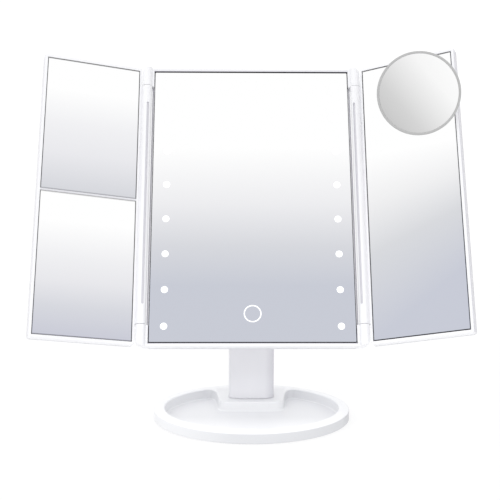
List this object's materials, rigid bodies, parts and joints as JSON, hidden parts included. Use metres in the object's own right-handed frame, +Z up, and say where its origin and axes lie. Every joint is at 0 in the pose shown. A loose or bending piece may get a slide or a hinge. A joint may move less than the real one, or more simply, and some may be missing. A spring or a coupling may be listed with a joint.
{
  "type": "lighted tri-fold vanity mirror",
  "caption": "Tabletop tri-fold make-up mirror: a lit centre glass with two folding leaves, a small round magnifier on a suction swivel, a tilting neck and an oval tray base.",
  "frame": {"origin": "on the table, under the middle of the oval base", "axes": "+Z up, +X to the viewer's right, +Y from the viewer towards the back of the mirror"},
  "size_m": [0.345, 0.1685, 0.3004],
  "materials": {
    "gloss_white": "smooth glossy white",
    "inner_plastic": "matt white",
    "mirror_glass": "polished silvered glass",
    "grey_rim": "satin grey",
    "steel": "plain",
    "nylon": "matt",
    "pad_rubber": "matt",
    "cup_rubber": "smooth",
    "circuit_board": "solder mask",
    "light_strip": "matt white",
    "battery_case": "satin",
    "lead_sheath": "matt"
  },
  "bodies": {
    "base": {"tray_base": "gloss_white", "non_slip_pad": "pad_rubber", "base_screw": "steel", "neck_front_shell": "gloss_white", "neck_rear_shell": "gloss_white", "neck_screw_lower": "steel", "neck_screw_upper": "steel", "tilt_bush": "nylon", "friction_washer_left": "steel", "friction_washer_right": "steel"},
    "panel": {"centre_front_frame": "gloss_white", "centre_back_cover": "gloss_white", "centre_glass": "mirror_glass", "light_carrier": "inner_plastic", "light_strip_left": "light_strip", "light_strip_right": "light_strip", "light_strip_top": "light_strip", "touch_sensor": "steel", "control_board": "circuit_board", "usb_socket": "steel", "battery_link_top_left": "steel", "battery_link_top_right": "steel", "battery_link_bottom": "steel", "battery_terminal_left": "steel", "battery_terminal_right": "steel", "battery_lead_left": "lead_sheath", "battery_lead_right": "lead_sheath", "battery_1": "battery_case", "battery_2": "battery_case", "battery_3": "battery_case", "battery_4": "battery_case", "cover_screw_1": "steel", "cover_screw_2": "steel", "cover_screw_3": "steel", "cover_screw_4": "steel", "tilt_shaft": "steel", "tilt_nut": "steel", "tilt_cap_left": "gloss_white", "tilt_cap_right": "gloss_white", "left_hinge_pin_lower": "steel", "left_hinge_pin_upper": "steel", "right_hinge_pin_lower": "steel", "right_hinge_pin_upper": "steel"},
    "battery_door": {"battery_door": "gloss_white"},
    "left_wing": {"left_wing_frame": "gloss_white", "left_wing_cover": "gloss_white", "left_upper_glass": "mirror_glass", "left_lower_glass": "mirror_glass"},
    "right_wing": {"right_wing_frame": "gloss_white", "right_wing_cover": "gloss_white", "right_wing_glass": "mirror_glass"},
    "magnifier_mount": {"suction_cup": "cup_rubber", "swivel_hub": "gloss_white"},
    "magnifier_fork": {"swivel_fork": "gloss_white", "swivel_pin": "steel"},
    "magnifier": {"magnifier_shell": "gloss_white", "magnifier_rim": "grey_rim", "magnifier_glass": "mirror_glass"}
  },
  "joints": [
    {"name": "mirror_tilt", "type": "hinge", "parent": "base", "child": "panel", "pos_m": [0, 0.025, 0.126], "axis": [-1, 0, 0], "range_deg": [-31, 29]},
    {"name": "left_wing_fold", "type": "hinge", "parent": "panel", "child": "left_wing", "pos_m": [-0.0887, 0.00743, 0.13656], "axis": [0, 0.515, 0.8572], "range_deg": [-18, 162]},
    {"name": "right_wing_fold", "type": "hinge", "parent": "panel", "child": "right_wing", "pos_m": [0.0887, 0.00743, 0.13656], "axis": [0, -0.515, -0.8572], "range_deg": [-27, 68]},
    {"name": "magnifier_lift", "type": "slide", "parent": "right_wing", "child": "magnifier_mount", "axis": [-0.454, -0.7637, 0.4589], "range_m": [0, 0.02]},
    {"name": "magnifier_turn", "type": "hinge", "parent": "magnifier_mount", "child": "magnifier_fork", "pos_m": [0.14293, 0.04873, 0.25699], "axis": [-0.454, -0.7637, 0.4589], "continuous": true},
    {"name": "magnifier_tilt", "type": "hinge", "parent": "magnifier_fork", "child": "magnifier", "pos_m": [0.13521, 0.03575, 0.26479], "axis": [0.7785, -0.0895, 0.6212], "range_deg": [-65, 3]},
    {"name": "battery_door_lift", "type": "slide", "parent": "panel", "child": "battery_door", "axis": [0, 0.8572, -0.515], "range_m": [0, 0.015]}
  ]
}
